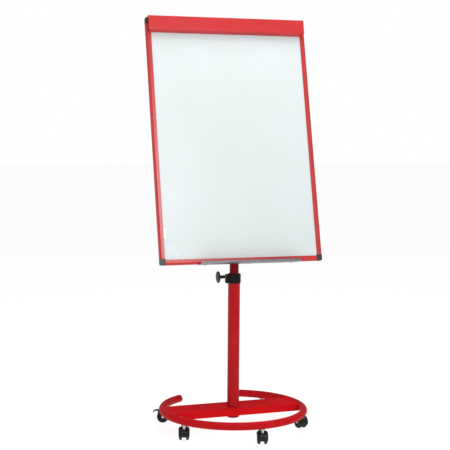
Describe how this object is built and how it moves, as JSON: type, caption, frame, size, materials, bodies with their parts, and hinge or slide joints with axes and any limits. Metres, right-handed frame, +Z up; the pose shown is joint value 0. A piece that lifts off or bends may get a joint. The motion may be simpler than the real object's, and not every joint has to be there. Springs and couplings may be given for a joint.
{
  "type": "flipchart easel",
  "caption": "Mobile flipchart easel: a tilting white board in a red frame on a telescopic column and a castored ring base, with a pad clamp and a pen tray.",
  "frame": {"origin": "the point of the floor under the column's axis", "axes": "+Z up along the column, -Y the way the writing surface faces, +X to the right hand of a person who looks at the writing surface"},
  "size_m": [0.7, 0.6052, 1.7202],
  "materials": {
    "red_paint": "gloss powder coat",
    "red_frame": "gloss paint on an extruded section",
    "black_plastic": "fine moulded grain",
    "castor_black": "moulded, slightly glossy",
    "castor_tyre": "hard nylon tread",
    "zinc_steel": "bright zinc plate",
    "spring_steel": "drawn wire",
    "brass": "turned",
    "white_enamel": "smooth gloss enamel",
    "grey_sheet": "satin galvanised sheet",
    "fibre_core": "raw fibreboard",
    "friction_fibre": "pressed fibre",
    "anodised_aluminium": "satin anodised, drawn lengthways"
  },
  "bodies": {
    "base": {"base_ring": "red_paint", "tube_plugs": "black_plastic", "cross_bar": "red_paint", "column_tube": "red_paint", "clamp_collar": "black_plastic", "collar_insert": "brass", "castor_stems": "zinc_steel"},
    "clamp_knob": {"collar_knob": "black_plastic", "knob_screw": "zinc_steel"},
    "bush": {"guide_bush": "black_plastic"},
    "mast": {"inner_tube": "red_paint", "lower_guide_ring": "black_plastic", "tilt_head": "black_plastic"},
    "board": {"tilt_washers": "friction_fibre", "tilt_bracket": "red_paint", "tilt_bolt": "zinc_steel", "back_beam": "red_paint", "board_screws": "zinc_steel", "rail_left": "red_frame", "rail_right": "red_frame", "rail_bottom": "red_frame", "rail_top": "red_frame", "corner_caps": "black_plastic", "writing_sheet": "white_enamel", "board_core": "fibre_core", "back_sheet": "grey_sheet", "pen_tray": "anodised_aluminium", "clamp_hinges": "black_plastic", "clamp_springs": "spring_steel", "pad_pegs": "black_plastic"},
    "tilt_hand_knob": {"tilt_knob": "black_plastic"},
    "pad_clamp": {"clamp_bar": "red_frame", "clamp_rod": "zinc_steel", "clamp_knuckles": "black_plastic"},
    "castor_1": {"castor_1_hood": "castor_black", "castor_1_pins": "zinc_steel"},
    "castor_1_wheel_a_body": {"castor_1_wheel_a": "castor_tyre"},
    "castor_1_wheel_b_body": {"castor_1_wheel_b": "castor_tyre"},
    "castor_1_pedal_body": {"castor_1_pedal": "castor_black"},
    "castor_2": {"castor_2_hood": "castor_black", "castor_2_pins": "zinc_steel"},
    "castor_2_wheel_a_body": {"castor_2_wheel_a": "castor_tyre"},
    "castor_2_wheel_b_body": {"castor_2_wheel_b": "castor_tyre"},
    "castor_2_pedal_body": {"castor_2_pedal": "castor_black"},
    "castor_3": {"castor_3_hood": "castor_black", "castor_3_pins": "zinc_steel"},
    "castor_3_wheel_a_body": {"castor_3_wheel_a": "castor_tyre"},
    "castor_3_wheel_b_body": {"castor_3_wheel_b": "castor_tyre"},
    "castor_3_pedal_body": {"castor_3_pedal": "castor_black"},
    "castor_4": {"castor_4_hood": "castor_black", "castor_4_pins": "zinc_steel"},
    "castor_4_wheel_a_body": {"castor_4_wheel_a": "castor_tyre"},
    "castor_4_wheel_b_body": {"castor_4_wheel_b": "castor_tyre"},
    "castor_4_pedal_body": {"castor_4_pedal": "castor_black"},
    "castor_5": {"castor_5_hood": "castor_black", "castor_5_pins": "zinc_steel"},
    "castor_5_wheel_a_body": {"castor_5_wheel_a": "castor_tyre"},
    "castor_5_wheel_b_body": {"castor_5_wheel_b": "castor_tyre"},
    "castor_5_pedal_body": {"castor_5_pedal": "castor_black"}
  },
  "joints": [
    {"name": "column_turn", "type": "hinge", "parent": "base", "child": "bush", "pos_m": [0, 0, 0.62], "axis": [0, 0, 1], "continuous": true},
    {"name": "column_height", "type": "slide", "parent": "bush", "child": "mast", "axis": [0, 0, 1], "range_m": [0, 0.25]},
    {"name": "board_tilt", "type": "hinge", "parent": "mast", "child": "board", "pos_m": [0, 0, 0.92], "axis": [1, 0, 0], "range_deg": [-16, 14.1]},
    {"name": "pad_clamp_hinge", "type": "hinge", "parent": "board", "child": "pad_clamp", "pos_m": [0, 0.13163, 1.71086], "axis": [-1, 0, 0], "range_deg": [0, 30], "stiffness_Nm_per_rad": 0.4, "springref_deg": -34.38},
    {"name": "column_clamp_knob", "type": "hinge", "parent": "base", "child": "clamp_knob", "pos_m": [-0.04996, -0.00192, 0.643], "axis": [-0.9993, -0.0384, 0], "continuous": true},
    {"name": "tilt_clamp_knob", "type": "hinge", "parent": "board", "child": "tilt_hand_knob", "pos_m": [-0.03, 0, 0.92], "axis": [-1, 0, 0], "continuous": true},
    {"name": "castor_1_swivel", "type": "hinge", "parent": "base", "child": "castor_1", "pos_m": [-0.24008, 0.17315, 0.05], "axis": [0, 0, 1], "continuous": true},
    {"name": "castor_1_roll_a", "type": "hinge", "parent": "castor_1", "child": "castor_1_wheel_a_body", "pos_m": [-0.25717, 0.17877, 0.025], "axis": [-0.3123, -0.95, 0], "continuous": true},
    {"name": "castor_1_roll_b", "type": "hinge", "parent": "castor_1", "child": "castor_1_wheel_b_body", "pos_m": [-0.25717, 0.17877, 0.025], "axis": [-0.3123, -0.95, 0], "continuous": true},
    {"name": "castor_1_brake", "type": "hinge", "parent": "castor_1", "child": "castor_1_pedal_body", "pos_m": [-0.26952, 0.18283, 0.044], "axis": [-0.3123, -0.95, 0], "range_deg": [0, 12]},
    {"name": "castor_2_swivel", "type": "hinge", "parent": "base", "child": "castor_2", "pos_m": [-0.25711, -0.14666, 0.05], "axis": [0, 0, 1], "continuous": true},
    {"name": "castor_2_roll_a", "type": "hinge", "parent": "castor_2", "child": "castor_2_wheel_a_body", "pos_m": [-0.25221, -0.12934, 0.025], "axis": [-0.9622, 0.2723, 0], "continuous": true},
    {"name": "castor_2_roll_b", "type": "hinge", "parent": "castor_2", "child": "castor_2_wheel_b_body", "pos_m": [-0.25221, -0.12934, 0.025], "axis": [-0.9622, 0.2723, 0], "continuous": true},
    {"name": "castor_2_brake", "type": "hinge", "parent": "castor_2", "child": "castor_2_pedal_body", "pos_m": [-0.24867, -0.11683, 0.044], "axis": [-0.9622, 0.2723, 0], "range_deg": [0, 12]},
    {"name": "castor_3_swivel", "type": "hinge", "parent": "base", "child": "castor_3", "pos_m": [0.02683, -0.29478, 0.05], "axis": [0, 0, 1], "continuous": true},
    {"name": "castor_3_roll_a", "type": "hinge", "parent": "castor_3", "child": "castor_3_wheel_a_body", "pos_m": [0.03112, -0.2773, 0.025], "axis": [-0.9711, 0.2385, 0], "continuous": true},
    {"name": "castor_3_roll_b", "type": "hinge", "parent": "castor_3", "child": "castor_3_wheel_b_body", "pos_m": [0.03112, -0.2773, 0.025], "axis": [-0.9711, 0.2385, 0], "continuous": true},
    {"name": "castor_3_brake", "type": "hinge", "parent": "castor_3", "child": "castor_3_pedal_body", "pos_m": [0.03422, -0.26468, 0.044], "axis": [-0.9711, 0.2385, 0], "range_deg": [0, 12]},
    {"name": "castor_4_swivel", "type": "hinge", "parent": "base", "child": "castor_4", "pos_m": [0.27936, -0.09783, 0.05], "axis": [0, 0, 1], "continuous": true},
    {"name": "castor_4_roll_a", "type": "hinge", "parent": "castor_4", "child": "castor_4_wheel_a_body", "pos_m": [0.27556, -0.08024, 0.025], "axis": [-0.9774, -0.2113, 0], "continuous": true},
    {"name": "castor_4_roll_b", "type": "hinge", "parent": "castor_4", "child": "castor_4_wheel_b_body", "pos_m": [0.27556, -0.08024, 0.025], "axis": [-0.9774, -0.2113, 0], "continuous": true},
    {"name": "castor_4_brake", "type": "hinge", "parent": "castor_4", "child": "castor_4_pedal_body", "pos_m": [0.27281, -0.06753, 0.044], "axis": [-0.9774, -0.2113, 0], "range_deg": [0, 12]},
    {"name": "castor_5_swivel", "type": "hinge", "parent": "base", "child": "castor_5", "pos_m": [0.20487, 0.21364, 0.05], "axis": [0, 0, 1], "continuous": true},
    {"name": "castor_5_roll_a", "type": "hinge", "parent": "castor_5", "child": "castor_5_wheel_a_body", "pos_m": [0.18777, 0.21926, 0.025], "axis": [-0.3123, -0.95, 0], "continuous": true},
    {"name": "castor_5_roll_b", "type": "hinge", "parent": "castor_5", "child": "castor_5_wheel_b_body", "pos_m": [0.18777, 0.21926, 0.025], "axis": [-0.3123, -0.95, 0], "continuous": true},
    {"name": "castor_5_brake", "type": "hinge", "parent": "castor_5", "child": "castor_5_pedal_body", "pos_m": [0.17542, 0.22332, 0.044], "axis": [-0.3123, -0.95, 0], "range_deg": [0, 12]}
  ]
}
